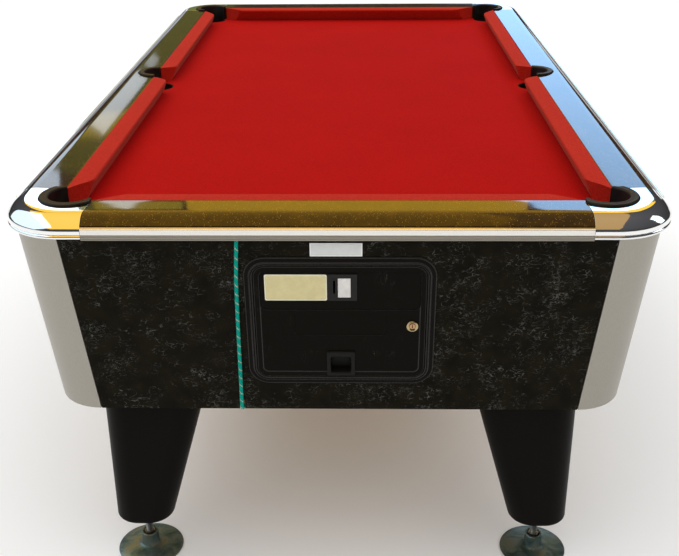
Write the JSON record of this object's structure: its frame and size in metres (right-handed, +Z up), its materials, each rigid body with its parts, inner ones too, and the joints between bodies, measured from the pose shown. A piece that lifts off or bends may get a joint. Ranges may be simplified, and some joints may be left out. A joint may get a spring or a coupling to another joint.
{
  "type": "coin-operated pool table",
  "caption": "Coin-operated pool table with red cloth, gloss rails, chrome corners, leaning black cabinet, coin door and levelling feet.",
  "frame": {"origin": "on the floor under the middle of the table", "axes": "+Z up, +Y along the table's length away from the coin-door end, +X to the right seen from the coin door"},
  "size_m": [1.18, 2.095, 0.828],
  "materials": {
    "slate": "honed",
    "bed_cloth": "napped wool cloth",
    "pocket_rubber": "matt moulded rubber",
    "cushion_cloth": "napped wool cloth over rubber",
    "rail_laminate": "dark brown high-gloss laminate with fine gold flecks",
    "casting_chrome": "polished",
    "trim_aluminium": "bright lip, brushed face, fluted",
    "cabinet_laminate": "black laminate with faint grey hair-like marbling",
    "post_aluminium": "satin anodised",
    "bare_timber": "sawn and planed",
    "leg_black": "satin moulded",
    "foot_zinc": "passivated zinc plate",
    "stud_steel": "zinc-plated thread",
    "frame_black": "semi-gloss black",
    "door_black": "semi-gloss black",
    "acceptor_plastic": "moulded black",
    "button_white": "moulded white",
    "flap_plastic": "moulded black",
    "lock_chrome": "nickel-plated brass barrel",
    "sheet_steel": "bare sheet",
    "ball_run_plastic": "moulded",
    "gate_steel": "zinc plated",
    "rope_green": "braided, pale flecks"
  },
  "bodies": {
    "root": {"slate_bed": "slate", "bed_cloth": "bed_cloth", "pocket_liner_front_left": "pocket_rubber", "pocket_liner_front_right": "pocket_rubber", "pocket_liner_back_left": "pocket_rubber", "pocket_liner_back_right": "pocket_rubber", "pocket_liner_middle_left": "pocket_rubber", "pocket_liner_middle_right": "pocket_rubber", "cushion_front": "cushion_cloth", "cushion_back": "cushion_cloth", "cushion_left_front": "cushion_cloth", "cushion_left_back": "cushion_cloth", "cushion_right_front": "cushion_cloth", "cushion_right_back": "cushion_cloth", "rail_front": "rail_laminate", "rail_back": "rail_laminate", "rail_left": "rail_laminate", "rail_right": "rail_laminate", "corner_casting_front_left": "casting_chrome", "corner_casting_front_right": "casting_chrome", "corner_casting_back_left": "casting_chrome", "corner_casting_back_right": "casting_chrome", "trim_front": "trim_aluminium", "trim_back": "trim_aluminium", "trim_left": "trim_aluminium", "trim_right": "trim_aluminium", "panel_front": "cabinet_laminate", "panel_back": "cabinet_laminate", "panel_left": "cabinet_laminate", "panel_right": "cabinet_laminate", "corner_post_front_left": "post_aluminium", "corner_post_front_right": "post_aluminium", "corner_post_back_left": "post_aluminium", "corner_post_back_right": "post_aluminium", "cabinet_floor": "bare_timber", "slate_frame": "bare_timber", "leg_front_left": "leg_black", "leg_front_right": "leg_black", "leg_back_left": "leg_black", "leg_back_right": "leg_black", "door_frame": "frame_black", "cash_box": "sheet_steel", "ball_run_left": "ball_run_plastic", "ball_run_right": "ball_run_plastic", "ball_tray": "ball_run_plastic", "rope": "rope_green"},
    "coin_door": {"coin_door": "door_black", "coin_acceptor": "acceptor_plastic"},
    "door_lock": {"door_lock": "lock_chrome"},
    "reject_button": {"reject_button": "button_white"},
    "return_flap": {"return_flap": "flap_plastic"},
    "ball_gate": {"ball_gate": "gate_steel"},
    "foot_front_left": {"foot_plate_front_left": "foot_zinc"},
    "stud_front_left": {"foot_stud_front_left": "stud_steel"},
    "foot_front_right": {"foot_plate_front_right": "foot_zinc"},
    "stud_front_right": {"foot_stud_front_right": "stud_steel"},
    "foot_back_left": {"foot_plate_back_left": "foot_zinc"},
    "stud_back_left": {"foot_stud_back_left": "stud_steel"},
    "foot_back_right": {"foot_plate_back_right": "foot_zinc"},
    "stud_back_right": {"foot_stud_back_right": "stud_steel"}
  },
  "joints": [
    {"name": "door_hinge", "type": "hinge", "parent": "root", "child": "coin_door", "pos_m": [-0.126, -1.01818, 0.61552], "axis": [0, 0.0872, -0.9962], "range_deg": [0, 100]},
    {"name": "lock_turn", "type": "hinge", "parent": "coin_door", "child": "door_lock", "pos_m": [0.1339, -1.01613, 0.60927], "axis": [0, 0.9962, 0.0872], "range_deg": [-90, 0]},
    {"name": "reject_press", "type": "slide", "parent": "coin_door", "child": "reject_button", "axis": [0, 0.9962, 0.0872], "range_m": [0, 0.003], "stiffness_N_per_m": 400, "springref_m": -0.002},
    {"name": "return_flap_swing", "type": "hinge", "parent": "coin_door", "child": "return_flap", "pos_m": [0.006, -0.99816, 0.54158], "axis": [1, 0, 0], "range_deg": [0, 55]},
    {"name": "gate_swing", "type": "hinge", "parent": "root", "child": "ball_gate", "pos_m": [0, 0.87, 0.665], "axis": [1, 0, 0], "range_deg": [0, 60]},
    {"name": "foot_front_left_slide", "type": "slide", "parent": "root", "child": "foot_front_left", "axis": [0, 0, -1], "range_m": [0, 0.02]},
    {"name": "stud_front_left_turn", "type": "hinge", "parent": "foot_front_left", "child": "stud_front_left", "pos_m": [-0.412, -0.889, 0.08], "axis": [0, 0, -1], "range_deg": [0, 3600]},
    {"name": "foot_front_right_slide", "type": "slide", "parent": "root", "child": "foot_front_right", "axis": [0, 0, -1], "range_m": [0, 0.02]},
    {"name": "stud_front_right_turn", "type": "hinge", "parent": "foot_front_right", "child": "stud_front_right", "pos_m": [0.412, -0.889, 0.08], "axis": [0, 0, -1], "range_deg": [0, 3600]},
    {"name": "foot_back_left_slide", "type": "slide", "parent": "root", "child": "foot_back_left", "axis": [0, 0, -1], "range_m": [0, 0.02]},
    {"name": "stud_back_left_turn", "type": "hinge", "parent": "foot_back_left", "child": "stud_back_left", "pos_m": [-0.412, 0.889, 0.08], "axis": [0, 0, -1], "range_deg": [0, 3600]},
    {"name": "foot_back_right_slide", "type": "slide", "parent": "root", "child": "foot_back_right", "axis": [0, 0, -1], "range_m": [0, 0.02]},
    {"name": "stud_back_right_turn", "type": "hinge", "parent": "foot_back_right", "child": "stud_back_right", "pos_m": [0.412, 0.889, 0.08], "axis": [0, 0, -1], "range_deg": [0, 3600]}
  ],
  "couplings": [
    {"joint": "stud_front_left_turn", "follows": "foot_front_left_slide", "rad_per_m": 3141.6},
    {"joint": "stud_front_right_turn", "follows": "foot_front_right_slide", "rad_per_m": 3141.6},
    {"joint": "stud_back_left_turn", "follows": "foot_back_left_slide", "rad_per_m": 3141.6},
    {"joint": "stud_back_right_turn", "follows": "foot_back_right_slide", "rad_per_m": 3141.6}
  ]
}
